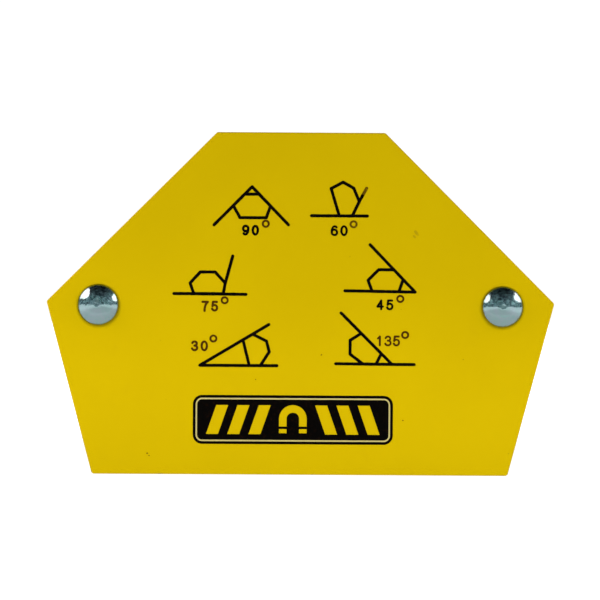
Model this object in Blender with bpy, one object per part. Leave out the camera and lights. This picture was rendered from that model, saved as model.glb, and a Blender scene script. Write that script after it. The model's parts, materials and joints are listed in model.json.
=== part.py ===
"""Magnetic welding holder with six working sides, standing on its longest side.

Two painted steel plates of one outline are riveted over a moulded spacer that holds three
ferrite blocks. The blocks magnetise the plates, so work clings to the plates' edges, whose
slopes set joints of 30, 45, 60, 75, 90 and 135 degrees.

X runs along the side it stands on, Y through its thickness (the front plate is towards -Y)
and Z up. The origin is the middle of the side it stands on.
"""

import math

import bmesh
import bpy
from mathutils import Matrix, Vector

MM = 0.001

# The plates' outline. The heights of its side corners and of its top follow from these.
REST_SIDE = 90 * MM
WIDEST = 110 * MM
TOP_SIDE = 36.4 * MM
LOWER_SLOPE = math.radians(75)
UPPER_SLOPE = math.radians(45)
CORNER_HEIGHT = (WIDEST - REST_SIDE) / 2 * math.tan(LOWER_SLOPE)
TOP_HEIGHT = CORNER_HEIGHT + (WIDEST - TOP_SIDE) / 2 * math.tan(UPPER_SLOPE)

# Through the thickness, from the middle out.
CORE_THICKNESS = 10 * MM
CLEARANCE = 0.3 * MM  # round and under every piece that another one holds
PLATE_THICKNESS = 1.5 * MM
PLATE_INSIDE = CORE_THICKNESS / 2 + CLEARANCE
PLATE_OUTSIDE = PLATE_INSIDE + PLATE_THICKNESS

# Plates, punched from sheet.
PLATE_CORNER_RADIUS = 0.7 * MM
PLATE_EDGE_BREAK = 0.2 * MM

# Rivets, one near each side corner.
RIVET_SPACING = 87.6 * MM
RIVET_HEIGHT = CORNER_HEIGHT - 0.75 * MM
SHANK_RADIUS = 2.4 * MM
HEAD_RADIUS = 4.35 * MM
HEAD_DOME = 1.95 * MM
TAIL_RADIUS = 4.2 * MM
TAIL_DOME = 1.9 * MM
HEAD_LAND = 0.3 * MM  # the straight rim under each dome
TOOL_DIMPLE_RADIUS = 0.9 * MM
TOOL_DIMPLE_DEPTH = 0.25 * MM

# Spacer sleeves, which keep the rivets from pinching the plates together.
SLEEVE_RADIUS = 4 * MM
SLEEVE_BORE_RADIUS = SHANK_RADIUS + CLEARANCE

# Moulded spacer, set back so that only the plates' edges touch the work.
SPACER_SETBACK = 2 * MM
SPACER_CORNER_RADIUS = 1.6 * MM
SPACER_EDGE_BREAK = 0.35 * MM

# Ferrite blocks: two side by side below, one above them.
BLOCK_LENGTH = 40 * MM
BLOCK_HEIGHT = 25 * MM
BLOCK_CHAMFER = 0.6 * MM
RIB_BETWEEN_LOWER = 1.4 * MM
LOWER_BLOCKS_FROM = 5 * MM
RIB_UNDER_UPPER = 4 * MM

ROUND_STEPS = 32  # sides of a full circle
DOME_STEPS = 6
CORNER_STEPS = 4
CUTTER_OVERSHOOT = 2 * MM
MERGE_DISTANCE = 0.001 * MM
BEVEL_ANGLE = math.radians(40)
SMOOTH_ANGLE = math.radians(35)


def clear_scene():
    for thing in list(bpy.data.objects):
        bpy.data.objects.remove(thing)


# Materials


def material(name, colour, roughness, metallic):
    made = bpy.data.materials.new(name)
    made.use_nodes = True
    surface = made.node_tree.nodes["Principled BSDF"]
    surface.inputs["Base Color"].default_value = (*colour, 1)
    surface.inputs["Roughness"].default_value = roughness
    surface.inputs["Metallic"].default_value = metallic
    return made


def make_materials():
    return {
        "yellow_paint": material("yellow_paint", (0.66, 0.46, 0.004), 0.38, 0.0),
        "zinc_plate": material("zinc_plate", (0.62, 0.66, 0.68), 0.22, 1.0),
        "black_moulding": material("black_moulding", (0.02, 0.02, 0.022), 0.55, 0.0),
        "ferrite": material("ferrite", (0.055, 0.055, 0.06), 0.7, 0.0),
    }


# Outlines, as points in the XZ plane that run anticlockwise seen from the front


def plate_corners():
    """The six corners of the plates, from the left end of the side that they stand on."""
    return [
        Vector((-REST_SIDE / 2, 0)),
        Vector((REST_SIDE / 2, 0)),
        Vector((WIDEST / 2, CORNER_HEIGHT)),
        Vector((TOP_SIDE / 2, TOP_HEIGHT)),
        Vector((-TOP_SIDE / 2, TOP_HEIGHT)),
        Vector((-WIDEST / 2, CORNER_HEIGHT)),
    ]


def inward(start, end):
    """The unit vector that points into the outline from the side between two corners."""
    along = (end - start).normalized()
    return Vector((-along.y, along.x))


def moved_in(corners, distance):
    """Each corner with its two normals, where it lies once every side has moved inwards."""
    found = []
    for i, corner in enumerate(corners):
        before = inward(corners[i - 1], corner)
        after = inward(corner, corners[(i + 1) % len(corners)])
        shift = (before + after) * distance / (1 + before.dot(after))
        found.append((corner + shift, before, after))
    return found


def rounded_outline(corners, radius):
    """The corners joined by straight sides, with an arc at each corner."""
    points = []
    for centre, before, after in moved_in(corners, radius):
        turn = before.angle(after)
        start = -before * radius
        for step in range(CORNER_STEPS + 1):
            angle = turn * step / CORNER_STEPS
            points.append(centre + Matrix.Rotation(angle, 2) @ start)
    return points


# Solids


def add_object(name, mesh_source, surface):
    mesh = bpy.data.meshes.new(name)
    mesh_source.to_mesh(mesh)
    mesh_source.free()
    made = bpy.data.objects.new(name, mesh)
    bpy.context.scene.collection.objects.link(made)
    if surface is not None:
        mesh.materials.append(surface)
    return made


def smooth(thing):
    thing.data.shade_smooth()
    thing.data.set_sharp_from_angle(angle=SMOOTH_ANGLE)


def slab(name, outline, thickness, surface):
    """The outline extruded along Y, half its thickness to each side of the object's origin."""
    bm = bmesh.new()
    front = bm.faces.new([bm.verts.new((p.x, -thickness / 2, p.y)) for p in outline])
    made = bmesh.ops.extrude_face_region(bm, geom=[front])
    back = [v for v in made["geom"] if isinstance(v, bmesh.types.BMVert)]
    bmesh.ops.translate(bm, verts=back, vec=(0, thickness, 0))
    bmesh.ops.recalc_face_normals(bm, faces=bm.faces)
    return add_object(name, bm, surface)


def block(name, size, surface):
    bm = bmesh.new()
    bmesh.ops.create_cube(bm, size=1, matrix=Matrix.Diagonal((*size, 1)))
    return add_object(name, bm, surface)


def rod(name, radius, length):
    """A plain cylinder along Y, used as a cutter."""
    bm = bmesh.new()
    bmesh.ops.create_cone(
        bm,
        cap_ends=True,
        segments=ROUND_STEPS,
        radius1=radius,
        radius2=radius,
        depth=length,
        matrix=Matrix.Rotation(math.radians(90), 4, "X"),
    )
    return add_object(name, bm, None)


def turned(name, profile, surface, closed):
    """A profile of (radius, y) points turned once about Y. It starts and ends on the axis
    unless it is closed."""
    bm = bmesh.new()
    ring = [bm.verts.new((radius, y, 0)) for radius, y in profile]
    pairs = list(zip(ring, ring[1:]))
    if closed:
        pairs.append((ring[-1], ring[0]))
    edges = [bm.edges.new(pair) for pair in pairs]
    bmesh.ops.spin(
        bm,
        geom=ring + edges,
        cent=(0, 0, 0),
        axis=(0, 1, 0),
        angle=2 * math.pi,
        steps=ROUND_STEPS,
        use_merge=True,
    )
    bmesh.ops.remove_doubles(bm, verts=bm.verts, dist=MERGE_DISTANCE)
    bmesh.ops.recalc_face_normals(bm, faces=bm.faces)
    made = add_object(name, bm, surface)
    smooth(made)
    return made


# Modifiers


def cut(target, cutter):
    cutter.hide_render = True
    cutter.display_type = "WIRE"
    boolean = target.modifiers.new("cut_" + cutter.name, "BOOLEAN")
    boolean.operation = "DIFFERENCE"
    boolean.solver = "EXACT"
    boolean.object = cutter


def break_edges(target, width, segments):
    bevel = target.modifiers.new("edge_break", "BEVEL")
    bevel.width = width
    bevel.segments = segments
    bevel.limit_method = "ANGLE"
    bevel.angle_limit = BEVEL_ANGLE


# Sub-parts


def rivet_places():
    return {
        "left": Vector((-RIVET_SPACING / 2, 0, RIVET_HEIGHT)),
        "right": Vector((RIVET_SPACING / 2, 0, RIVET_HEIGHT)),
    }


def block_places():
    lower_x = (RIB_BETWEEN_LOWER + BLOCK_LENGTH) / 2 + CLEARANCE
    lower_z = LOWER_BLOCKS_FROM + BLOCK_HEIGHT / 2
    upper_z = lower_z + BLOCK_HEIGHT + 2 * CLEARANCE + RIB_UNDER_UPPER
    return {
        "lower_left": Vector((-lower_x, 0, lower_z)),
        "lower_right": Vector((lower_x, 0, lower_z)),
        "upper": Vector((0, 0, upper_z)),
    }


def make_plate(name, side, materials):
    """One face plate. Side is -1 for the front and +1 for the rear."""
    outline = rounded_outline(plate_corners(), PLATE_CORNER_RADIUS)
    plate = slab(name, outline, PLATE_THICKNESS, materials["yellow_paint"])
    plate.location.y = side * (PLATE_INSIDE + PLATE_OUTSIDE) / 2
    for end, place in rivet_places().items():
        drill = rod(
            f"{name}_drill_{end}",
            SHANK_RADIUS + CLEARANCE,
            PLATE_THICKNESS + 2 * CUTTER_OVERSHOOT,
        )
        drill.location = place + Vector((0, plate.location.y, 0))
        cut(plate, drill)
    break_edges(plate, PLATE_EDGE_BREAK, segments=2)


def make_spacer(materials):
    """The moulded spacer, with a pocket for each ferrite block and a bore for each sleeve."""
    corners = [corner for corner, _, _ in moved_in(plate_corners(), SPACER_SETBACK)]
    outline = rounded_outline(corners, SPACER_CORNER_RADIUS)
    spacer = slab("spacer_frame", outline, CORE_THICKNESS, materials["black_moulding"])
    depth = CORE_THICKNESS + 2 * CUTTER_OVERSHOOT
    pocket = (BLOCK_LENGTH + 2 * CLEARANCE, depth, BLOCK_HEIGHT + 2 * CLEARANCE)
    for spot, place in block_places().items():
        cutter = block(f"pocket_{spot}", pocket, None)
        cutter.location = place
        cut(spacer, cutter)
    for end, place in rivet_places().items():
        cutter = rod(f"sleeve_bore_{end}", SLEEVE_RADIUS + CLEARANCE, depth)
        cutter.location = place
        cut(spacer, cutter)
    break_edges(spacer, SPACER_EDGE_BREAK, segments=2)


def make_ferrite_block(name, place, materials):
    size = (BLOCK_LENGTH, CORE_THICKNESS, BLOCK_HEIGHT)
    made = block(name, size, materials["ferrite"])
    made.location = place
    break_edges(made, BLOCK_CHAMFER, segments=1)


def dome(radius, height, seat, side):
    """Profile points of a domed head, from its middle to its rim. The head's underside lies
    at y = seat and the dome bulges towards side."""
    sphere = (radius**2 + height**2) / (2 * height)
    widest_angle = math.asin(radius / sphere)
    points = []
    for step in range(DOME_STEPS + 1):
        angle = widest_angle * step / DOME_STEPS
        rise = height - sphere * (1 - math.cos(angle))
        points.append((sphere * math.sin(angle), seat + side * (HEAD_LAND + rise)))
    points.append((radius, seat))
    return points


def make_rivet(name, place, materials):
    """A solid rivet: a domed head in front, a shank, and a tail formed over the rear plate."""
    seat = PLATE_OUTSIDE + CLEARANCE
    head = dome(HEAD_RADIUS, HEAD_DOME, -seat, side=-1)
    tail = dome(TAIL_RADIUS, TAIL_DOME, seat, side=1)
    dimple_floor = tail[0][1] - TOOL_DIMPLE_DEPTH
    dimple_rim = (TOOL_DIMPLE_RADIUS, tail[1][1])
    tail = [(0, dimple_floor), dimple_rim] + tail[2:]
    shank = [(SHANK_RADIUS, -seat), (SHANK_RADIUS, seat)]
    profile = head + shank + tail[::-1]
    rivet = turned(name, profile, materials["zinc_plate"], closed=False)
    rivet.location = place


def make_sleeve(name, place, materials):
    half = CORE_THICKNESS / 2
    profile = [
        (SLEEVE_BORE_RADIUS, -half),
        (SLEEVE_RADIUS, -half),
        (SLEEVE_RADIUS, half),
        (SLEEVE_BORE_RADIUS, half),
    ]
    sleeve = turned(name, profile, materials["zinc_plate"], closed=True)
    sleeve.location = place


def main():
    clear_scene()
    materials = make_materials()
    make_plate("front_plate", -1, materials)
    make_plate("rear_plate", 1, materials)
    make_spacer(materials)
    for spot, place in block_places().items():
        make_ferrite_block(f"ferrite_block_{spot}", place, materials)
    for end, place in rivet_places().items():
        make_rivet(f"rivet_{end}", place, materials)
        make_sleeve(f"spacer_sleeve_{end}", place, materials)


main()
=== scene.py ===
"""Looks for the six-angle magnetic welding holder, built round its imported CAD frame.

The holder stands on its longest side. Its printed front plate faces the camera, towards -Y.
The plates, rivets and spacer are remade here with their fine shape, the print is laid on the
front plate as thin solids of ink, and every piece gets a procedural finish.
"""

import json
import math

import bmesh
import bpy
from mathutils import Matrix, Vector, noise
from mathutils.geometry import delaunay_2d_cdt


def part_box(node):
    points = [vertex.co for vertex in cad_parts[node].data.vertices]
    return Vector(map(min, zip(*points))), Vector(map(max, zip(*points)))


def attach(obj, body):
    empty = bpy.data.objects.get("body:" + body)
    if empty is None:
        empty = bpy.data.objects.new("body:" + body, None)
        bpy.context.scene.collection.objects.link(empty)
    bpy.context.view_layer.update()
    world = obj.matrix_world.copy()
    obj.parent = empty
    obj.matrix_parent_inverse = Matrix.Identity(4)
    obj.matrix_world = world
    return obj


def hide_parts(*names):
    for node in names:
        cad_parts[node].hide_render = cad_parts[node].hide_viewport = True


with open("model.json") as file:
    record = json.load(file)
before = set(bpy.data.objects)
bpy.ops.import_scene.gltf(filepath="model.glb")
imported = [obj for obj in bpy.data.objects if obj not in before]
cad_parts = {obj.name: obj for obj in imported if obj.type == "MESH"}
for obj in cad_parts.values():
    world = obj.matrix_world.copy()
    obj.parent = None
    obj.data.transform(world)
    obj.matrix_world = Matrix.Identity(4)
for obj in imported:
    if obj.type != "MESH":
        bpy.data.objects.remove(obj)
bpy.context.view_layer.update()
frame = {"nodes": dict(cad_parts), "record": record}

MM = 0.001

# Camera, square to the front plate
FRAMED_WIDTH = 129.85 * MM  # of the front plate's plane
CAMERA_DISTANCE = 900 * MM
SENSOR_WIDTH = 36.0
AIM_X = -0.1 * MM
AIM_Z = 37.85 * MM
CAMERA_ROLL = math.radians(0.33)

# Plates
PLATE_CORNER_RADIUS = 0.7 * MM
DIE_ROLL = 0.32 * MM  # the soft rim on a plate's outer face
INNER_BREAK = 0.12 * MM
PLATE_HOLE_RADIUS = 2.7 * MM
SIDE_STEP = 1.6 * MM  # between points along a side
CORNER_STEPS = 6
RIM_STEPS = 5
RIM_WEIGHTS = (0, 0.5, 1, 1, 0.7, 0.3, 0.3, 0)  # of wear, from the outer face to the inner
EDGE_WAVER = 0.022 * MM
WAVER_LENGTH = 2.2 * MM
PLATE_SHARP = 50  # degrees between faces whose edge stays sharp

# The dish that riveting leaves in a plate round each head, and its groove at the rim
DISH_DEPTH = 0.06 * MM
DISH_RADIUS = 7.2 * MM
GROOVE_DEPTH = 0.24 * MM
GROOVE_RADIUS = 4.95 * MM
# How far the groove's middle is off the rivet's. This also moves the painted shade in the groove towards the
# holder's middle and down.
GROOVE_OFF_CENTRE = {"left": Vector((0.14, -0.10)) * MM, "right": Vector((-0.14, -0.08)) * MM}
DISH_RINGS = 12
ROUND_STEPS = 64

# Rivets
HEAD_RADIUS = 4.35 * MM
HEAD_DOME = 1.95 * MM
TAIL_RADIUS = 4.2 * MM
TAIL_DOME = 1.9 * MM
HEAD_LAND = 0.3 * MM
# How a head draws in below its dome: how far in, and the share of the land that is left
UNDERCUT = ((0.0, 0.6), (0.06 * MM, 0.25), (0.22 * MM, 0.0))
SHANK_RADIUS = 2.4 * MM
RIVET_SHARP = 60
RIVET_STEPS = 128
DOME_STEPS = 64
DOME_CROWDING = 1.4  # how much closer the steps are towards the middle
# A head's unevenness, in millimetres: how wide and how deep its waves are. The fine ones are
# deeper near the middle, where the forming tool pressed.
BROAD_WAVE, BROAD_DEPTH = 1.6, 0.015
BROAD_PHASE = Vector((7, 3, 5))
FINE_WAVE, FINE_DEPTH, PRESSED_DEPTH = 0.55, 0.0035, 0.012
PRESSED_RADIUS = 1.0
# Dents that the forming tool leaves near the middle of a head: where from the middle, how
# wide and how deep, in millimetres
DENTS = {
    "left": [((-0.05, 1.10), 0.46, 0.14), ((-0.22, 0.30), 0.52, 0.10)],
    "right": [((-0.75, 0.95), 0.36, 0.07), ((0.10, 0.20), 0.50, 0.07)],
}
FULL_DENT = 0.1  # the depth that counts as wholly dented
DIMPLE_RADIUS = 0.9 * MM
DIMPLE_DEPTH = 0.25 * MM
DIMPLE_STEPS = 8

# Spacer
SPACER_CORNER_RADIUS = 1.6 * MM
SPACER_GAP = 0.02 * MM  # to each plate
SPACER_SHARP = 40
POCKET_CLEARANCE = 0.3 * MM
POCKET_RADIUS = 0.5 * MM

# Ink
INK_PROUD = 0.03 * MM
INK_BEDDED = 0.02 * MM
PEN = 0.68 * MM  # the drawings' strokes
RING_PEN = 0.45 * MM
RING_DIAMETER = 1.75 * MM
FIGURE_WIDTH = 1.62 * MM
FIGURE_HEIGHT = 2.36 * MM
EDGE_STEP = 0.5 * MM  # between points along a straight stroke
PEN_END_STEPS = 6
ARC_STEPS = 18
RAGGED = 0.03 * MM
RAGGED_LENGTH = 0.9 * MM
QUARTER_STEPS = 8  # round each corner of a rounded rectangle

plate_low, plate_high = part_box("front_plate")
rear_low, rear_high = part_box("rear_plate")
spacer_low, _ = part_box("spacer_frame")
FRONT = plate_low.y
REAR = rear_high.y
SETBACK = spacer_low.z - plate_low.z


# The outline


def working_sides():
    """(point, outward normal) of each working side in XZ, anticlockwise from the lowest."""
    sides = []
    for mount in frame["record"]["mounts"]:
        if mount["name"].startswith("front_plate_"):
            x, _, z = mount["pos_m"]
            across, _, up = mount["axis"]
            sides.append((Vector((x, z)), Vector((across, up)).normalized()))
    return sorted(sides, key=lambda side: math.atan2(side[1].x, -side[1].y) % math.tau)


SIDES = working_sides()


def corners(inset):
    """Where each side meets the next, once every side has moved inwards by inset."""
    found = []
    for (point, normal), (next_point, next_normal) in zip(SIDES, SIDES[1:] + SIDES[:1]):
        here = point.dot(normal) - inset
        there = next_point.dot(next_normal) - inset
        area = normal.cross(next_normal)
        x = (here * next_normal.y - there * normal.y) / area
        z = (there * normal.x - here * next_normal.x) / area
        found.append(Vector((x, z)))
    return found


SIDE_POINTS = [
    round((end - start).length / SIDE_STEP)
    for start, end in zip(corners(0)[-1:] + corners(0)[:-1], corners(0))
]


def outline(inset, radius):
    """The outline moved inwards, with an arc at each corner and points along each side."""
    centres = corners(inset + radius)
    points = []
    for i, (_, normal) in enumerate(SIDES):
        start = centres[i - 1] + normal * radius
        end = centres[i] + normal * radius
        points += [start.lerp(end, k / SIDE_POINTS[i]) for k in range(1, SIDE_POINTS[i])]
        turn = normal.angle(SIDES[(i + 1) % len(SIDES)][1])
        for k in range(CORNER_STEPS + 1):
            arm = Matrix.Rotation(turn * k / CORNER_STEPS, 2) @ normal
            points.append(centres[i] + arm * radius)
    return points


def circle(centre, radius, steps):
    return [
        centre + Vector((math.cos(a), math.sin(a))) * radius
        for a in (math.tau * k / steps for k in range(steps))
    ]


def rounded_rectangle(centre, width, height, radius):
    points = []
    for quarter, (x, z) in enumerate(((1, 1), (-1, 1), (-1, -1), (1, -1))):
        corner = centre + Vector((x * (width / 2 - radius), z * (height / 2 - radius)))
        for k in range(QUARTER_STEPS + 1):
            angle = math.pi / 2 * (quarter + k / QUARTER_STEPS)
            points.append(corner + Vector((math.cos(angle), math.sin(angle))) * radius)
    return points


# Meshes

WELD_DISTANCE = 0.0005 * MM
TRIANGULATION_ERROR = 1e-4  # in millimetres


def anticlockwise(loop):
    twice_area = sum(loop[i - 1].cross(loop[i]) for i in range(len(loop)))
    return loop if twice_area > 0 else loop[::-1]


def triangulated(loops, loose=()):
    """The points of a triangulation over closed 2D loops, and a list of its triangles, each
    with the numbers of the loops that hold it."""
    points, faces = [], []
    for loop in loops:
        faces.append(list(range(len(points), len(points) + len(loop))))
        points += [p / MM for p in anticlockwise(loop)]
    points += [p / MM for p in loose]
    only_inside = 1
    made = delaunay_2d_cdt(points, [], faces, only_inside, TRIANGULATION_ERROR)
    return [p * MM for p in made[0]], list(zip(made[2], made[5]))


def add_piece(name, bm, material, sharp=None):
    """An object with this mesh and material, in the scene. With sharp, its faces are smooth
    but for edges of more degrees than that."""
    bmesh.ops.recalc_face_normals(bm, faces=bm.faces)
    mesh = bpy.data.meshes.new(name)
    bm.to_mesh(mesh)
    bm.free()
    mesh.materials.append(material)
    if sharp is not None:
        mesh.shade_smooth()
        mesh.set_sharp_from_angle(angle=math.radians(sharp))
    piece = bpy.data.objects.new(name, mesh)
    bpy.context.scene.collection.objects.link(piece)
    return piece


def weld(bm):
    bmesh.ops.remove_doubles(bm, verts=bm.verts, dist=WELD_DISTANCE)


def keep_flats_flat(piece):
    modifier = piece.modifiers.new("flat_faces", "WEIGHTED_NORMAL")
    modifier.keep_sharp = True


def lofted(bm, rings, holes, loose, dip):
    """A slab between its first and last rings, which are (outline, y) pairs. Holes go straight
    through. Loose points refine its caps, and dip(point, y) is how far a cap's point moves
    along Y."""
    layers = []
    for points, y in rings:
        layers.append([bm.verts.new((p.x, y, p.y)) for p in points])
    for before, after in zip(layers, layers[1:]):
        for i in range(len(before)):
            bm.faces.new((before[i - 1], before[i], after[i], after[i - 1]))
    for ring, y in (rings[0], rings[-1]):
        points, triangles = triangulated([ring, *holes], loose)
        made = [bm.verts.new((p.x, y + dip(p, y), p.y)) for p in points]
        for triangle, inside in triangles:
            if inside == [0]:
                bm.faces.new([made[i] for i in triangle])
    for hole in holes:
        walls = [
            [bm.verts.new((p.x, y + dip(p, y), p.y)) for p in hole]
            for _, y in (rings[0], rings[-1])
        ]
        for i in range(len(hole)):
            bm.faces.new((walls[0][i - 1], walls[0][i], walls[1][i], walls[1][i - 1]))
    weld(bm)


def turned(bm, profile, centre, wobble):
    """A profile of (radius, y) points turned about the Y axis through centre. Each point
    moves along Y by wobble(point, radius)."""
    rows = []
    for radius, y in profile:
        if radius == 0:
            ring = [Vector((centre.x, y, centre.y))]
        else:
            ring = [Vector((p.x, y, p.y)) for p in circle(centre, radius, RIVET_STEPS)]
        for p in ring:
            p.y += wobble(p, radius)
        rows.append([bm.verts.new(p) for p in ring])
    for before, after in zip(rows, rows[1:]):
        for i in range(RIVET_STEPS):
            a = [before[0]] if len(before) == 1 else [before[i - 1], before[i]]
            b = [after[0]] if len(after) == 1 else [after[i], after[i - 1]]
            bm.faces.new(a + b)


# Node trees

RANGE_SOCKETS = ("From Min", "From Max", "To Min", "To Max")


class Finish:
    """A material's node tree, with a short call for each kind of node that it uses."""

    def __init__(self, name, **surface):
        self.material = bpy.data.materials.new(name)
        self.material.use_nodes = True
        self.tree = self.material.node_tree
        self.surface = self.tree.nodes["Principled BSDF"]
        self.coords = self.tree.nodes.new("ShaderNodeTexCoord").outputs["Object"]
        for socket, value in surface.items():
            self.surface.inputs[socket.replace("_", " ")].default_value = value

    def feed(self, socket, value):
        if isinstance(value, bpy.types.NodeSocket):
            self.tree.links.new(value, socket)
        elif value is not None:
            socket.default_value = value

    def set(self, socket, value):
        self.feed(self.surface.inputs[socket], value)

    def noise(self, size, detail=2.0, roughness=0.5, distortion=0.0, stretch=None):
        """Soft noise with features about this size, in metres, as a factor from 0 to 1."""
        node = self.tree.nodes.new("ShaderNodeTexNoise")
        node.inputs["Scale"].default_value = 1 / size
        node.inputs["Detail"].default_value = detail
        node.inputs["Roughness"].default_value = roughness
        node.inputs["Distortion"].default_value = distortion
        self.feed(node.inputs["Vector"], self.stretched(stretch))
        return node.outputs["Fac"]

    def stretched(self, stretch):
        if stretch is None:
            return self.coords
        node = self.tree.nodes.new("ShaderNodeMapping")
        node.inputs["Scale"].default_value = stretch
        self.feed(node.inputs["Vector"], self.coords)
        return node.outputs["Vector"]

    def cells(self, size):
        """The distance to the nearest of points scattered about this far apart."""
        node = self.tree.nodes.new("ShaderNodeTexVoronoi")
        node.inputs["Scale"].default_value = 1 / size
        self.feed(node.inputs["Vector"], self.coords)
        return node.outputs["Distance"]

    def attribute(self, name):
        node = self.tree.nodes.new("ShaderNodeAttribute")
        node.attribute_name = name
        return node.outputs["Fac"]

    def between(self, value, low, high, out_low=0.0, out_high=1.0):
        """Value from low to high, stretched smoothly to out_low to out_high and clamped."""
        node = self.tree.nodes.new("ShaderNodeMapRange")
        node.interpolation_type = "SMOOTHSTEP"
        for socket, number in zip(RANGE_SOCKETS, (low, high, out_low, out_high)):
            node.inputs[socket].default_value = number
        self.feed(node.inputs["Value"], value)
        return node.outputs["Result"]

    def maths(self, operation, a, b):
        node = self.tree.nodes.new("ShaderNodeMath")
        node.operation = operation
        self.feed(node.inputs[0], a)
        self.feed(node.inputs[1], b)
        return node.outputs[0]

    def mix(self, factor, a, b):
        """Colour a where the factor is 0 and b where it is 1."""
        node = self.tree.nodes.new("ShaderNodeMix")
        node.data_type = "RGBA"
        named = {s.identifier: s for s in node.inputs}
        self.feed(named["Factor_Float"], factor)
        self.feed(named["A_Color"], a)
        self.feed(named["B_Color"], b)
        return next(s for s in node.outputs if s.identifier == "Result_Color")

    def over(self, tone, colour, mask, share):
        """The tone, with this share of the colour laid over it where the mask is 1."""
        return self.mix(self.maths("MULTIPLY", mask, share), tone, colour)

    def bump(self, height, depth, normal=None):
        """A bump whose full height is depth, in metres."""
        node = self.tree.nodes.new("ShaderNodeBump")
        node.inputs["Distance"].default_value = depth
        self.feed(node.inputs["Height"], height)
        self.feed(node.inputs["Normal"], normal)
        return node.outputs["Normal"]


def rgb(red, green, blue):
    return (red, green, blue, 1.0)


def powder_coat():
    """Semi-gloss yellow powder coat: orange peel, faint cloudiness, a few specks and smudges,
    thin, slightly rubbed paint along the rims, and painted shade, a dark olive ring, in the
    grooves round the rivets."""
    deep, light = rgb(0.528, 0.363, 0.0003), rgb(0.550, 0.380, 0.0004)
    smudged, specked = rgb(0.50, 0.33, 0.003), rgb(0.10, 0.075, 0.01)
    # The last of these is a dark olive that paints shade into the grooves round the rivets.
    thinned, bare, groove_shade_colour = rgb(0.36, 0.26, 0.004), rgb(0.11, 0.09, 0.06), rgb(0.09, 0.065, 0.004)
    paint = Finish("yellow_powder_coat", Specular_IOR_Level=0.3)
    paint.surface.inputs["Specular Tint"].default_value = rgb(1.0, 0.72, 0.02)
    cloud = paint.between(paint.noise(26 * MM, detail=3), 0.3, 0.7)
    tone = paint.mix(cloud, deep, light)
    patches = paint.noise(9 * MM, detail=5, roughness=0.62, distortion=0.4)
    smudge = paint.between(patches, 0.60, 0.78)
    tone = paint.over(tone, smudged, smudge, share=0.22)
    speck = paint.between(paint.cells(3.4 * MM), 0.035, 0.055, 1.0, 0.0)
    rare = paint.between(paint.noise(7 * MM, detail=1), 0.56, 0.60)
    speck = paint.maths("MULTIPLY", speck, rare)
    tone = paint.over(tone, specked, speck, share=0.55)
    rim = paint.attribute("rim")
    tone = paint.over(tone, thinned, rim, share=0.35)
    rubbed = paint.between(paint.noise(2.6 * MM, detail=5, roughness=0.7), 0.50, 0.72)
    rubbed = paint.between(paint.maths("MULTIPLY", rubbed, rim), 0.60, 0.85, 0.0, 0.75)
    tone = paint.mix(rubbed, tone, bare)
    # Painted shade: a dark olive ring darkens the paint in the groove round each rivet, heavier on its inner
    # lower side.
    paint.set("Base Color", paint.over(tone, groove_shade_colour, paint.attribute("groove_shade"), share=0.6))
    dulled = paint.between(smudge, 0.0, 1.0, 0.36, 0.50)
    paint.set("Roughness", paint.maths("ADD", dulled, paint.maths("MULTIPLY", speck, 0.2)))
    peel = paint.bump(paint.noise(0.95 * MM, roughness=0.45), 0.010 * MM)
    grit = paint.between(paint.cells(2.1 * MM), 0.05, 0.13, 1.0, 0.0)
    paint.set("Normal", paint.bump(grit, 0.006 * MM, normal=peel))
    return paint.material


def zinc_plating():
    """Blue-white zinc: bright, with faint passivation tints and handling marks, and duller
    where the forming tool dented it."""
    cool, bluish, teal = rgb(0.20, 0.30, 0.302), rgb(0.222, 0.293, 0.317), rgb(0.16, 0.315, 0.287)
    stained = rgb(0.16, 0.17, 0.17)
    zinc = Finish("zinc_plating", Metallic=1.0)
    tint = zinc.noise(2.4 * MM, detail=3, roughness=0.6, distortion=0.6)
    tone = zinc.mix(zinc.between(tint, 0.35, 0.65), cool, bluish)
    film = zinc.between(zinc.noise(1.7 * MM, distortion=1.0), 0.55, 0.75)
    tone = zinc.over(tone, teal, film, share=0.5)
    stain = zinc.between(zinc.noise(0.7 * MM, detail=5, roughness=0.7), 0.60, 0.80)
    zinc.set("Base Color", zinc.over(tone, stained, stain, share=0.35))
    handled = zinc.noise(0.35 * MM, detail=4, roughness=0.6)
    rough = zinc.between(handled, 0.3, 0.75, 0.08, 0.15)
    dented = zinc.maths("MULTIPLY", zinc.attribute("dented"), 0.22)
    zinc.set("Roughness", zinc.maths("ADD", rough, dented))
    waves = zinc.bump(zinc.noise(0.9 * MM, detail=3, roughness=0.55), 0.03 * MM)
    zinc.set("Normal", zinc.bump(zinc.noise(0.09 * MM), 0.0004 * MM, normal=waves))
    return zinc.material


def moulded_black():
    """Black glass-filled moulding with a spark texture, flow marks, and pale scuffs."""
    dark, flowed, scuffed = rgb(0.010, 0.010, 0.011), rgb(0.024, 0.024, 0.025), rgb(0.10, 0.097, 0.09)
    black = Finish("black_moulding_textured", Specular_IOR_Level=0.35)
    streaks = black.noise(5 * MM, detail=4, roughness=0.6, distortion=0.8, stretch=(1, 0.35, 1))
    flow = black.between(streaks, 0.35, 0.7)
    tone = black.mix(flow, dark, flowed)
    rubs = black.noise(1.1 * MM, detail=5, roughness=0.7, stretch=(0.5, 1, 0.5))
    scuff = black.between(rubs, 0.60, 0.78)
    black.set("Base Color", black.over(tone, scuffed, scuff, share=0.4))
    black.set("Roughness", black.between(flow, 0.0, 1.0, 0.42, 0.62))
    spark = black.bump(black.noise(0.32 * MM, detail=3, roughness=0.6), 0.045 * MM)
    black.set("Normal", black.bump(black.noise(2.5 * MM), 0.05 * MM, normal=spark))
    return black.material


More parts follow.
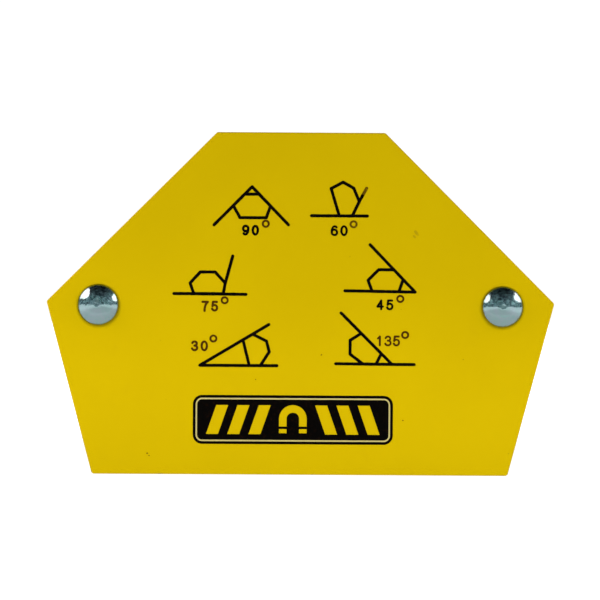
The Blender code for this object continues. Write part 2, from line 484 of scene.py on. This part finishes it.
def sintered_ferrite():
    """Charcoal ferrite: a granular sintered skin with grinding lines and pale chips."""
    dark, grey, chipped = rgb(0.030, 0.030, 0.033), rgb(0.075, 0.075, 0.080), rgb(0.13, 0.13, 0.13)
    ferrite = Finish("sintered_ferrite", Specular_IOR_Level=0.4)
    grain = ferrite.noise(0.3 * MM, detail=4, roughness=0.65)
    tone = ferrite.mix(grain, dark, grey)
    chip = ferrite.between(ferrite.cells(1.9 * MM), 0.08, 0.13, 1.0, 0.0)
    ferrite.set("Base Color", ferrite.over(tone, chipped, chip, share=0.5))
    ferrite.set("Roughness", ferrite.between(grain, 0.2, 0.8, 0.58, 0.80))
    ground = ferrite.bump(ferrite.noise(0.25 * MM, stretch=(0.06, 1, 1)), 0.012 * MM)
    ferrite.set("Normal", ferrite.bump(grain, 0.02 * MM, normal=ground))
    return ferrite.material


def screen_ink(name, body, thinned):
    """Screen ink with a fine mesh grain. It takes the thinned colour where it lies thin, and
    lets the paint through in pinholes."""
    let_through = rgb(0.20, 0.13, 0.003)
    ink = Finish(name, Specular_IOR_Level=0.02)
    thin = ink.between(ink.noise(0.8 * MM, detail=5, roughness=0.65), 0.52, 0.80)
    pinhole = ink.between(ink.noise(0.22 * MM), 0.74, 0.80)
    tone = ink.mix(thin, body, thinned)
    ink.set("Base Color", ink.over(tone, let_through, pinhole, share=0.6))
    ink.set("Roughness", ink.between(thin, 0.0, 1.0, 0.42, 0.58))
    ink.set("Normal", ink.bump(ink.noise(0.18 * MM), 0.004 * MM))
    return ink.material


# Pieces


def centre_of(node):
    low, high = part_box(node)
    return (low + high) / 2


def in_plane(point):
    return Vector((point.x, point.z))


RIVETS = {end: in_plane(centre_of(f"rivet_{end}")) for end in ("left", "right")}
BLOCKS = ("lower_left", "lower_right", "upper")


def faded(away, depth, radius):
    """A depth this far from a rivet's middle: full under the head, and smoothly down to
    nothing at a radius."""
    fade = max(0.0, min(1.0, (radius - away) / (radius - HEAD_RADIUS)))
    return depth * fade * fade * (3 - 2 * fade)


def groove(point):
    """How deep the groove round the nearest rivet is at a point of the XZ plane."""
    end = min(RIVETS, key=lambda end: (point - RIVETS[end]).length)
    away = (point - RIVETS[end] - GROOVE_OFF_CENTRE[end]).length
    return faded(away, GROOVE_DEPTH, GROOVE_RADIUS)


def dish(point):
    """How deep the dish round the nearest rivet is at a point, with its groove."""
    away = min((point - rivet).length for rivet in RIVETS.values())
    return faded(away, DISH_DEPTH, DISH_RADIUS) + groove(point)


def wavered(points, y):
    """The points of an outline at this depth, each moved a little towards its middle."""
    middle = sum(points, Vector((0, 0))) / len(points)
    moved = []
    for p in points:
        shift = noise.noise(Vector((p.x, p.y, y)) / WAVER_LENGTH) * EDGE_WAVER
        moved.append(p + (middle - p).normalized() * abs(shift))
    return moved


def inwards(outer, inner):
    """The way along Y from a plate's outer face to its inner one, as 1 or -1."""
    return 1 if inner > outer else -1


def plate_rings(outer, inner):
    """The rings of a plate from its outer face, with a die roll, to its inner face."""
    way = inwards(outer, inner)
    rings = []
    for k in range(RIM_STEPS + 1):
        angle = math.pi / 2 * k / RIM_STEPS
        inset = DIE_ROLL * (1 - math.sin(angle))
        rings.append((inset, outer + way * DIE_ROLL * (1 - math.cos(angle))))
    rings.append((0, inner - way * INNER_BREAK))
    rings.append((INNER_BREAK, inner))
    return [(wavered(outline(inset, PLATE_CORNER_RADIUS - inset), y), y) for inset, y in rings]


def level(y):
    """A distance along Y as a key, the same for every point of a ring."""
    return round(y / MM, 4)


def dish_points():
    """Points round each rivet for the dishes' slopes, closer together near the head."""
    points = []
    for centre in RIVETS.values():
        for k in range(DISH_RINGS):
            radius = HEAD_RADIUS + (DISH_RADIUS - HEAD_RADIUS) * (k / (DISH_RINGS - 1)) ** 2
            points += circle(centre, radius, ROUND_STEPS)
    return points


def mark_wear_and_shade(plate, rings):
    """Stores how worn each point of a plate is along its rim, and how much painted shade it
    takes in a groove.
    """
    rims = {level(y): weight for (_, y), weight in zip(rings, RIM_WEIGHTS)}
    rim = plate.data.attributes.new("rim", "FLOAT", "POINT")
    groove_shade = plate.data.attributes.new("groove_shade", "FLOAT", "POINT")
    for i, v in enumerate(plate.data.vertices):
        rim.data[i].value = rims.get(level(v.co.y), 0.0)
        # The painted shade of the groove, darkest where the groove is deepest.
        groove_shade.data[i].value = (groove(in_plane(v.co)) / GROOVE_DEPTH) ** 2


def make_plate(name, node, outer, inner, material):
    bm = bmesh.new()
    rings = plate_rings(outer, inner)
    holes = [circle(centre, PLATE_HOLE_RADIUS, ROUND_STEPS) for centre in RIVETS.values()]
    way = inwards(outer, inner)
    lofted(bm, rings, holes, dish_points(), lambda p, y: way * dish(p) if y == outer else 0.0)
    plate = add_piece(name, bm, material, sharp=PLATE_SHARP)
    mark_wear_and_shade(plate, rings)
    keep_flats_flat(plate)
    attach(plate, "root")
    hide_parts(node)


def dome_profile(radius, height, seat, way, from_radius=0.0):
    """(radius, y) points of a domed head from its middle, or from a radius, to its seat."""
    sphere = (radius**2 + height**2) / (2 * height)
    first = math.asin(from_radius / sphere)
    last = math.asin(radius / sphere)
    points = []
    for k in range(DOME_STEPS + 1):
        angle = first + (last - first) * (k / DOME_STEPS) ** DOME_CROWDING
        rise = height - sphere * (1 - math.cos(angle))
        points.append((sphere * math.sin(angle), seat + way * (HEAD_LAND + rise)))
    return points + [(radius - inset, seat + way * HEAD_LAND * left) for inset, left in UNDERCUT]


def dimple_profile(top):
    """The tool's dimple in a tail, from its middle to its rim."""
    points = []
    for k in range(DIMPLE_STEPS + 1):
        share = k / DIMPLE_STEPS
        depth = DIMPLE_DEPTH * (0.5 + 0.5 * math.cos(math.pi * share))
        points.append((DIMPLE_RADIUS * share, top - depth))
    return points


HEAD_SEAT = FRONT + DISH_DEPTH + GROOVE_DEPTH
TAIL_SEAT = REAR - DISH_DEPTH - GROOVE_DEPTH


def rivet_profile():
    """(radius, y) points of a rivet from the middle of its head to the middle of its tail."""
    head = dome_profile(HEAD_RADIUS, HEAD_DOME, HEAD_SEAT, -1)
    shank = [(SHANK_RADIUS, HEAD_SEAT), (SHANK_RADIUS, TAIL_SEAT)]
    tail = dome_profile(TAIL_RADIUS, TAIL_DOME, TAIL_SEAT, 1, DIMPLE_RADIUS)
    tail = dimple_profile(tail[0][1])[:-1] + tail
    return head + shank + tail[::-1]


def struck(point, end):
    """How deep the dents in a rivet's head are at a point, in millimetres."""
    at = (in_plane(point) - RIVETS[end]) / MM
    return sum(
        deep * math.exp(-(((at - Vector(place)).length / wide) ** 2))
        for place, wide, deep in DENTS[end]
    )


def uneven(point, radius):
    """How far in the waves take a rivet's head at a point, in millimetres."""
    near = math.exp(-((radius / (PRESSED_RADIUS * MM)) ** 2))
    fine = noise.noise(point / (FINE_WAVE * MM)) * (FINE_DEPTH + PRESSED_DEPTH * near)
    broad = noise.noise(point / (BROAD_WAVE * MM) + BROAD_PHASE) * BROAD_DEPTH
    return fine + broad


def make_rivet(end, material):
    def wobble(point, radius):
        """How far a point of the head moves inwards. The rest of the rivet stays put."""
        on_head = point.y <= HEAD_SEAT - HEAD_LAND / 2
        return (uneven(point, radius) + struck(point, end)) * MM if on_head else 0.0

    bm = bmesh.new()
    turned(bm, rivet_profile(), RIVETS[end], wobble)
    weld(bm)
    rivet = add_piece(f"rivet_{end}_finished", bm, material, sharp=RIVET_SHARP)
    dented = rivet.data.attributes.new("dented", "FLOAT", "POINT")
    for i, v in enumerate(rivet.data.vertices):
        dented.data[i].value = struck(v.co, end) / FULL_DENT if v.co.y < HEAD_SEAT else 0.0
    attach(rivet, "root")
    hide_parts(f"rivet_{end}")


def spacer_section():
    """(inset, share of the half thickness) from the front of the spacer's side to its rear:
    a rounded lip, a shallow hollow and the parting line, and then the same in reverse."""
    edge = [(0.40, 1.0), (0.16, 0.985), (0.04, 0.95), (0.0, 0.91), (0.0, 0.76), (0.03, 0.735)]
    hollow = [(0.12, 0.71), (0.27, 0.67), (0.33, 0.63), (0.35, 0.57), (0.36, 0.06)]
    line = [(0.34, 0.045), (0.26, 0.03), (0.24, 0.012)]
    front = [(inset * MM, -share) for inset, share in edge + hollow + line]
    return front + [(inset, -share) for inset, share in reversed(front)]


def make_spacer(material):
    """The moulded spacer: its sides, hollowed between two lips and with a raised parting
    line, and its pockets."""
    half = -plate_high.y - SPACER_GAP
    steps = [(inset, share * half) for inset, share in spacer_section()]
    rings = [(outline(SETBACK + inset, SPACER_CORNER_RADIUS - inset), y) for inset, y in steps]
    holes = []
    for block in BLOCKS:
        low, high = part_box(f"ferrite_block_{block}")
        size = high - low
        middle = in_plane((low + high) / 2)
        width, height = size.x + 2 * POCKET_CLEARANCE, size.z + 2 * POCKET_CLEARANCE
        holes.append(rounded_rectangle(middle, width, height, POCKET_RADIUS))
    for end, centre in RIVETS.items():
        low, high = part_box(f"spacer_sleeve_{end}")
        holes.append(circle(centre, (high.x - low.x) / 2 + POCKET_CLEARANCE, ROUND_STEPS))
    bm = bmesh.new()
    lofted(bm, rings, holes, [], lambda p, y: 0.0)
    spacer = add_piece("spacer_frame_moulded", bm, material, sharp=SPACER_SHARP)
    keep_flats_flat(spacer)
    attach(spacer, "root")
    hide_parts("spacer_frame")


# Print


def printed(name, layers, material):
    """Ink from painted layers of (loop, inked): where loops overlap, the last one counts."""
    points, triangles = triangulated([loop for loop, _ in layers])
    kept = [t for t, inside in triangles if inside and layers[max(inside)][1]]
    bm = bmesh.new()
    top = {}
    bottom = {}
    open_sides = {}  # of the triangles so far, which no second triangle shares
    for triangle in kept:
        for i in triangle:
            if i not in top:
                x, z = points[i]
                top[i] = bm.verts.new((x, FRONT - INK_PROUD, z))
                bottom[i] = bm.verts.new((x, FRONT + INK_BEDDED, z))
        bm.faces.new([top[i] for i in triangle])
        bm.faces.new([bottom[i] for i in reversed(triangle)])
        for a, b in zip(triangle, triangle[1:] + triangle[:1]):
            if open_sides.pop((b, a), None) is None:
                open_sides[a, b] = True
    for a, b in open_sides:
        bm.faces.new((top[b], top[a], bottom[a], bottom[b]))
    piece = add_piece(name, bm, material)
    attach(piece, "root")


def ribbon(points, pen):
    """The loop round a pen's stroke along a smooth line of points, with round ends and the
    slightly ragged edge of screen ink."""
    sides = {1: [], -1: []}
    for k, here in enumerate(points):
        along = (points[min(k + 1, len(points) - 1)] - points[max(k - 1, 0)]).normalized()
        for side, edge in sides.items():
            ragged = noise.noise(Vector((here.x, here.y, side * MM)) / RAGGED_LENGTH) * RAGGED
            edge.append(here + Vector((-along.y, along.x)) * side * (pen / 2 + ragged))
    ends = []
    for here, back in ((points[-1], points[-2]), (points[0], points[1])):
        along = (here - back).normalized()
        across = Vector((-along.y, along.x))
        turns = (math.pi * k / PEN_END_STEPS for k in range(1, PEN_END_STEPS))
        ends.append([here + (across * math.cos(a) + along * math.sin(a)) * pen / 2 for a in turns])
    return sides[1] + ends[0] + sides[-1][::-1] + ends[1]


def straight(start, end):
    """The loop round a straight stroke of the drawings' pen, between points in millimetres."""
    start, end = Vector(start) * MM, Vector(end) * MM
    count = max(2, round((end - start).length / EDGE_STEP))
    return ribbon([start.lerp(end, k / count) for k in range(count + 1)], PEN)


def path(points, closed=False):
    """Painted layers of straight strokes from point to point."""
    pairs = list(zip(points, points[1:]))
    if closed:
        pairs.append((points[-1], points[0]))
    return [(straight(a, b), True) for a, b in pairs]


# Each drawing shows a small holder against the work that it sets, in millimetres on the
# front plate: the holder's outline, the lines of the work, and a line's worn end. Its label's
# figures and ring follow, with the pen and ink of the figures, and the ring's ink if it isn't
# thin.
DRAWINGS = {
    "90": {
        "holder": [(-12.2, 60.7), (-9.1, 60.7), (-6.6, 58.15), (-7.5, 55.6), (-13.2, 55.6), (-14.65, 58.2)],
        "work": [[(-18.8, 54), (-10.6, 62.3), (-2.7, 54.1)]],
        "figures": (-10.9, 52.9),
        "ring": (-7.6, 54.3),
        "pen": 0.53,
        "ink": "full",
    },
    "60": {
        "holder": [(8.3, 56.1), (6.5, 62), (9.1, 63.4), (11.4, 62.1), (12.6, 59.2), (11.1, 56.1)],
        "work": [[(2.3, 56.1), (14.4, 56.1)], [(12.6, 59.2), (13.3, 60.5)]],
        "worn": [(13.3, 60.5), (14.2, 62.1)],
        "figures": (8.3, 52.9),
        "ring": (11.4, 54.3),
        "ring_ink": "worn",
        "pen": 0.47,
        "ink": "full",
    },
    "75": {
        "holder": [(-23.1, 39.1), (-23.9, 41.4), (-21.7, 43.8), (-18.5, 43.8), (-16.3, 41.4), (-16.7, 39.1)],
        "work": [[(-27.4, 39.1), (-11.8, 39)], [(-16.3, 41.4), (-14.7, 47.3)]],
        "figures": (-19.6, 36.4),
        "ring": (-16.4, 37.7),
        "pen": 0.5,
        "ink": "thin",
    },
    "45": {
        "holder": [(15.5, 39.8), (14.6, 42.2), (16.9, 44.5), (20.2, 44.5), (22.2, 42.4), (21.3, 39.75)],
        "work": [[(9.6, 39.9), (24.8, 39.7), (15, 49.9)]],
        "figures": (18.3, 36.9),
        "ring": (21.6, 38.2),
        "pen": 0.475,
        "ink": "full",
    },
    "30": {
        "holder": [(-12.4, 29.15), (-11, 23.6), (-8.6, 23.6), (-6.7, 26.6), (-7.3, 28.9), (-10.3, 30.4)],
        "work": [[(-6.8, 32.5), (-21.7, 23.6), (-5, 23.6)]],
        "figures": (-21.8, 27.8),
        "ring": (-18.8, 29.4),
        "pen": 0.5,
        "ink": "thin",
    },
    "135": {
        "holder": [(13.2, 30.7), (10.8, 29.2), (10.8, 26.2), (13.6, 24.07), (16.45, 24.05), (17.55, 26.35)],
        "work": [[(8.8, 35.1), (19.7, 24.2)], [(7.7, 24.1), (24.7, 24)]],
        "figures": (19, 29.1),
        "ring": (22.7, 30.4),
        "pen": 0.44,
        "ink": "thin",
    },
}
FIGURE_PITCH = {2: 2.08 * MM, 3: 1.83 * MM}


def arc(x, y, across, up, start, end):
    """Points along part of an oval, between two angles in degrees."""
    angles = [math.radians(start + (end - start) * k / ARC_STEPS) for k in range(ARC_STEPS + 1)]
    return [(x + across * math.cos(a), y + up * math.sin(a)) for a in angles]


def oval(x, y, across, up):
    return [arc(x, y, across, up, -90, 90), arc(x, y, across, up, 90, 270)]


# Pen strokes of each figure, in a square from -1 to 1
SIX = [*oval(0, -0.38, 1, 0.62), arc(0.15, -0.3, 1.15, 1.3, 55, 176)]
FIGURES = {
    "0": oval(0, 0, 1, 1),
    "1": [[(-0.6, 0.55), (0.1, 0.95)], [(0.1, 1), (0.1, -1)]],
    "3": [arc(-0.05, 0.52, 0.86, 0.48, 165, -90), arc(-0.05, -0.46, 1, 0.54, 90, -165)],
    "4": [[(0.4, -1), (0.4, 1)], [(0.4, 1), (-1, -0.4)], [(-1, -0.4), (1, -0.4)]],
    "5": [[(0.85, 1), (-0.62, 1)], [(-0.62, 1), (-0.85, 0)], arc(-0.05, -0.36, 1, 0.64, 140, -160)],
    "6": SIX,
    "7": [[(-1, 1), (1, 1)], arc(1.9, -1.1, 2.1, 2.3, 113, 180)],
    "9": [[(-x, -y) for x, y in line] for line in SIX],
}


def make_label(text, drawing, materials):
    """A drawing's angle: its figures, and the ring of the degree sign."""
    pen = drawing["pen"] * MM
    centre = Vector(drawing["figures"]) * MM
    layers = []
    for i, figure in enumerate(text):
        middle = centre.x + (i - (len(text) - 1) / 2) * FIGURE_PITCH[len(text)]
        for line in FIGURES[figure]:
            points = [
                Vector((middle + x * (FIGURE_WIDTH - pen) / 2, centre.y + y * (FIGURE_HEIGHT - pen) / 2))
                for x, y in line
            ]
            layers.append((ribbon(points, pen), True))
    printed(f"figures_{text}_degrees", layers, materials[drawing["ink"]])
    centre = Vector(drawing["ring"]) * MM
    size = (RING_DIAMETER - RING_PEN) / 2
    halves = [[Vector(p) for p in half] for half in oval(centre.x, centre.y, size, size)]
    ring = [(ribbon(half, RING_PEN), True) for half in halves]
    printed(f"degree_ring_{text}", ring, materials[drawing.get("ring_ink", "thin")])


def make_drawings(materials):
    for text, drawing in DRAWINGS.items():
        layers = path(drawing["holder"], closed=True)
        for line in drawing["work"]:
            layers += path(line)
        printed(f"drawing_{text}_degrees", layers, materials["full"])
        if "worn" in drawing:
            printed(f"drawing_{text}_degrees_worn", path(drawing["worn"]), materials["worn"])
        make_label(text, drawing, materials)


SPECK_STEPS = 14
SPECK_UNEVEN = 0.3  # how far a speck's edge strays from an oval, as a share of its reach
SPECK_LUMPS = 0.9  # how fast that changes from step to step
LEAN_LENGTH = 3 * MM  # how far apart two specks lean in unrelated ways
# Ink that strayed on to the plate: where, and how long and wide, in millimetres
SPECKS = (
    ((-33.0, 4.5), 0.42, 0.30),
    ((-32.6, 4.0), 0.30, 0.24),
    ((22.3, 11.9), 0.34, 0.26),
    ((-9.6, 20.6), 0.24, 0.24),
    ((4.6, 26.0), 0.36, 0.30),
)
SMUDGES = (((25.0, 52.5), 1.4, 0.7), ((24.6, 51.7), 0.8, 0.5))


def make_specks(name, specks, material):
    layers = []
    for (x, z), long, wide in specks:
        centre = Vector((x, z)) * MM
        lean = noise.noise(centre.to_3d() / LEAN_LENGTH) * math.pi
        loop = []
        for k in range(SPECK_STEPS):
            angle = math.tau * k / SPECK_STEPS
            reach = 1 + SPECK_UNEVEN * noise.noise(Vector((x, z, k)) * SPECK_LUMPS)
            arm = Vector((long * math.cos(angle), wide * math.sin(angle))) * reach * MM / 2
            loop.append(centre + Matrix.Rotation(lean, 2) @ arm)
        layers.append((loop, True))
    printed(name, layers, material)


# The badge: its middle and size, and the black line round its pale line
BADGE_CENTRE = Vector((-1.5, 11.9)) * MM
BADGE_WIDTH = 43.3 * MM
BADGE_HEIGHT = 10.6 * MM
BADGE_RADIUS = 2.0 * MM
BORDER = 0.60 * MM
PALE_LINE = 0.33 * MM
INK_GAP = 0.01 * MM  # between two inks
BARS_A_SIDE = 3
BAR_HEIGHT = 6.3 * MM
BAR_WIDTH = 2.6 * MM
BAR_LEAN = 2.2 * MM
FIRST_BAR, BAR_PITCH = 7.2, 4.6  # in millimetres from the badge's middle
# The horseshoe magnet in its middle
MAGNET_OUTER = 3.0 * MM
MAGNET_INNER = 1.35 * MM
MAGNET_LEG = 3.1 * MM
MAGNET_RAISED = 0.2 * MM
MAGNET_STEPS = 24
POLE_LENGTH = 0.9 * MM
BAND_TOP = 1.45 * MM  # above the poles' ends
BAND_OVERLAP = 0.3 * MM


def badge_loop(inset):
    width, height = BADGE_WIDTH - 2 * inset, BADGE_HEIGHT - 2 * inset
    return rounded_rectangle(BADGE_CENTRE, width, height, BADGE_RADIUS - inset)


def make_badge(materials):
    """A black badge with a pale inner line. It carries slanted bars and a horseshoe magnet,
    left in the colour of the plate."""
    inner = BORDER + PALE_LINE
    layers = [(badge_loop(0), True), (badge_loop(BORDER), False), (badge_loop(inner), True)]
    pale = [(badge_loop(BORDER + INK_GAP), True), (badge_loop(inner - INK_GAP), False)]
    printed("badge_line_pale", pale, materials["pale"])
    layers += slanted_bars() + magnet_icon()
    printed("badge_generic", layers, materials["full"])


def slanted_bars():
    """Bars on both sides of the badge's middle, with their tops leaning towards it."""
    layers = []
    for side in (-1, 1):
        for k in range(BARS_A_SIDE):
            middle = BADGE_CENTRE.x + side * (FIRST_BAR + BAR_PITCH * k) * MM
            bar = []
            for x, z in ((-1, -1), (1, -1), (1, 1), (-1, 1)):
                across = middle + x * BAR_WIDTH / 2 + z * side * -BAR_LEAN / 2
                bar.append(Vector((across, BADGE_CENTRE.y + z * BAR_HEIGHT / 2)))
            layers.append((bar, False))
    return layers


def magnet_icon():
    """A horseshoe magnet with its poles down, as an arch with a band of ink across each leg."""
    spring = BADGE_CENTRE + Vector((0, MAGNET_RAISED))
    turns = [math.pi * k / MAGNET_STEPS for k in range(MAGNET_STEPS + 1)]
    arch = [spring + Vector((MAGNET_OUTER, -MAGNET_LEG))]
    arch += [spring + Vector((math.cos(a), math.sin(a))) * MAGNET_OUTER for a in turns]
    arch += [spring + Vector((-r, -MAGNET_LEG)) for r in (MAGNET_OUTER, MAGNET_INNER)]
    arch += [spring + Vector((-math.cos(a), math.sin(a))) * MAGNET_INNER for a in turns]
    arch.append(spring + Vector((MAGNET_INNER, -MAGNET_LEG)))
    layers = [(arch, False)]
    low, high = -MAGNET_LEG + POLE_LENGTH, -MAGNET_LEG + BAND_TOP
    for side in (-1, 1):
        near, far = (MAGNET_INNER - BAND_OVERLAP) * side, (MAGNET_OUTER + BAND_OVERLAP) * side
        band = [(near, low), (far, low), (far, high), (near, high)]
        layers.append(([spring + Vector(corner) for corner in band], True))
    return layers


# Stage

FLOOR_RADIUS = 6.0  # in metres
FLOOR_STEPS = 96
FLOOR_GAP = 0.02 * MM  # below the holder
# How strongly the floor glows: near the holder, far from it, and how far those are in metres
FLOOR_GLOW_NEAR, FLOOR_GLOW_FAR = 0.93, 1.6
GLOW_FROM, GLOW_TO = 0.08, 0.22
BACKDROP = 1.05
# How the room dims overhead: between which two heights, as the sine of the elevation, and from
# what strength to what
ROOM_DIMMING = (0.25, 0.98, 1.0, 0.10)
CLUTTER = {"Scale": 4.6, "Detail": 2.0, "Roughness": 0.6, "Distortion": 0.6}
# The room's clutter, from its dark patches through its bright ones and back
ROOM_TONES = (
    (0.36, rgb(0.03, 0.05, 0.07)),
    (0.47, rgb(0.13, 0.20, 0.22)),
    (0.51, rgb(1.35, 1.62, 1.65)),
    (0.55, rgb(0.32, 0.45, 0.50)),
    (0.66, rgb(0.05, 0.08, 0.11)),
)
# Lights: where they are and how wide and high in metres, and their watts
LOW_PLACE = (-0.022, -0.057, 0.010)
LOW_SIZE = (0.30, 0.016)
LOW_WATTS = 0.041
TOP_PLACE = (0.0, 0.1, 1.2)
TOP_SIZE = (1.6, 1.6)
TOP_WATTS = 5
BACK_PLACE = (0.0, 1.2, 0.6)
BACK_SIZE = (1.0, 1.0)
BACK_WATTS = 2.5
# Oval soft boxes beyond and above the two ends, which the rivets mirror
BOX_PLACES = {"box_left": (-0.205, 0, 0.168), "box_right": (0.262, 0, 0.172)}
BOX_SIZE = (0.27, 0.15)
BOX_WATTS = 0.48
BOX_COLOUR = (1.0, 0.80, 0.76)


def make_camera():
    data = bpy.data.cameras.new("camera")
    data.sensor_width = SENSOR_WIDTH
    data.lens = SENSOR_WIDTH * CAMERA_DISTANCE / FRAMED_WIDTH
    camera = bpy.data.objects.new("camera", data)
    camera.location = (AIM_X, FRONT - CAMERA_DISTANCE, AIM_Z)
    upright = Matrix.Rotation(math.radians(90), 4, "X")
    camera.rotation_euler = (upright @ Matrix.Rotation(CAMERA_ROLL, 4, "Z")).to_euler()
    bpy.context.scene.collection.objects.link(camera)
    bpy.context.scene.camera = camera


def make_light(name, place, size, watts, shape="RECTANGLE", aim=(0, 0, AIM_Z)):
    """An area light that neither the camera nor a reflection shows."""
    data = bpy.data.lights.new(name, "AREA")
    data.shape = shape
    data.size, data.size_y = size
    data.energy = watts
    light = bpy.data.objects.new(name, data)
    light.location = place
    away = Vector(aim) - Vector(place)
    light.rotation_euler = away.to_track_quat("-Z", "Y").to_euler()
    light.visible_camera = False
    light.visible_glossy = False
    bpy.context.scene.collection.objects.link(light)
    return light


def make_soft_box(name, place):
    """A tinted oval light that shows in reflections."""
    box = make_light(name, place, BOX_SIZE, BOX_WATTS, shape="ELLIPSE")
    box.data.color = BOX_COLOUR
    box.visible_glossy = True


def make_floor():
    bm = bmesh.new()
    bmesh.ops.create_circle(bm, cap_ends=True, segments=FLOOR_STEPS, radius=FLOOR_RADIUS)
    floor = add_piece("floor", bm, floor_material())
    floor.location.z = -FLOOR_GAP


def floor_material():
    """Pale and self-lit, more so away from the object, and first of all at its two ends, so
    that it ends in white."""
    pale = Finish("pale_floor", Specular_IOR_Level=0.0, Roughness=0.9)
    darker, lighter = rgb(0.20, 0.20, 0.20), rgb(0.22, 0.22, 0.22)
    pale.set("Base Color", pale.mix(pale.noise(0.4), darker, lighter))
    pale.surface.inputs["Emission Color"].default_value = rgb(1, 1, 1)
    away = pale.tree.nodes.new("ShaderNodeVectorMath")
    away.operation = "LENGTH"
    pale.feed(away.inputs[0], pale.stretched((1, 0.5, 1)))
    distance = away.outputs["Value"]
    glow = pale.between(distance, GLOW_FROM, GLOW_TO, FLOOR_GLOW_NEAR, FLOOR_GLOW_FAR)
    pale.set("Emission Strength", glow)
    return pale.material


def room_light(tree):
    """A shader for a dim, cluttered room, darker overhead."""
    room = tree.nodes.new("ShaderNodeBackground")
    direction = tree.nodes.new("ShaderNodeTexCoord").outputs["Generated"]
    clutter = tree.nodes.new("ShaderNodeTexNoise")
    for socket, number in CLUTTER.items():
        clutter.inputs[socket].default_value = number
    ramp = tree.nodes.new("ShaderNodeValToRGB")
    stops = ramp.color_ramp.elements
    stops[0].position, stops[0].color = ROOM_TONES[0]
    stops[1].position, stops[1].color = ROOM_TONES[-1]
    for place, colour in ROOM_TONES[1:-1]:
        stops.new(place).color = colour
    split = tree.nodes.new("ShaderNodeSeparateXYZ")
    overhead = tree.nodes.new("ShaderNodeMapRange")
    overhead.interpolation_type = "SMOOTHSTEP"
    for socket, number in zip(RANGE_SOCKETS, ROOM_DIMMING):
        overhead.inputs[socket].default_value = number
    tree.links.new(direction, clutter.inputs["Vector"])
    tree.links.new(clutter.outputs["Fac"], ramp.inputs["Fac"])
    tree.links.new(ramp.outputs["Color"], room.inputs["Color"])
    tree.links.new(direction, split.inputs[0])
    tree.links.new(split.outputs["Z"], overhead.inputs["Value"])
    tree.links.new(overhead.outputs["Result"], room.inputs["Strength"])
    return room.outputs["Background"]


def make_world():
    """White behind the object, which a cluttered room lights."""
    world = bpy.data.worlds.new("studio")
    world.use_nodes = True
    tree = world.node_tree
    tree.nodes.clear()
    backdrop = tree.nodes.new("ShaderNodeBackground")
    backdrop.inputs["Color"].default_value = rgb(1, 1, 1)
    backdrop.inputs["Strength"].default_value = BACKDROP
    seen = tree.nodes.new("ShaderNodeLightPath").outputs["Is Camera Ray"]
    mixed = tree.nodes.new("ShaderNodeMixShader")
    output = tree.nodes.new("ShaderNodeOutputWorld")
    for socket, shader in zip(mixed.inputs, (seen, room_light(tree), backdrop.outputs[0])):
        tree.links.new(shader, socket)
    tree.links.new(mixed.outputs[0], output.inputs["Surface"])
    bpy.context.scene.world = world


def make_stage():
    make_camera()
    make_world()
    make_floor()
    straight_ahead = (LOW_PLACE[0], 0, LOW_PLACE[2])
    make_light("soft_low", LOW_PLACE, LOW_SIZE, LOW_WATTS, aim=straight_ahead)
    make_light("soft_top", TOP_PLACE, TOP_SIZE, TOP_WATTS)
    make_light("soft_back", BACK_PLACE, BACK_SIZE, BACK_WATTS)
    for name, place in BOX_PLACES.items():
        make_soft_box(name, place)
    bpy.context.scene.view_settings.view_transform = "Standard"


def refinish(node, material):
    """Gives a carried-over CAD node its finish."""
    target = frame["nodes"][node]
    target.data.materials.clear()
    target.data.materials.append(material)


make_stage()
paint = powder_coat()
zinc = zinc_plating()
make_plate("front_plate_painted", "front_plate", FRONT, plate_high.y, paint)
make_plate("rear_plate_painted", "rear_plate", REAR, rear_low.y, paint)
for rivet_end in RIVETS:
    make_rivet(rivet_end, zinc)
    refinish(f"spacer_sleeve_{rivet_end}", zinc)
make_spacer(moulded_black())
ferrite_finish = sintered_ferrite()
for block in BLOCKS:
    refinish(f"ferrite_block_{block}", ferrite_finish)
inks = {
    "full": screen_ink("screen_ink", rgb(0.001, 0.0006, 0.0004), rgb(0.010, 0.003, 0.0005)),
    "thin": screen_ink("screen_ink_thin", rgb(0.060, 0.022, 0.0006), rgb(0.12, 0.06, 0.0008)),
    "worn": screen_ink("screen_ink_worn", rgb(0.10, 0.05, 0.001), rgb(0.38, 0.25, 0.001)),
    "faint": screen_ink("screen_ink_faint", rgb(0.41, 0.285, 0.003), rgb(0.50, 0.345, 0.001)),
    "pale": screen_ink("screen_ink_pale", rgb(0.50, 0.425, 0.16), rgb(0.46, 0.38, 0.12)),
}
make_drawings(inks)
make_specks("stray_ink", SPECKS, inks["worn"])
make_specks("smudged_ink", SMUDGES, inks["faint"])
make_badge(inks)
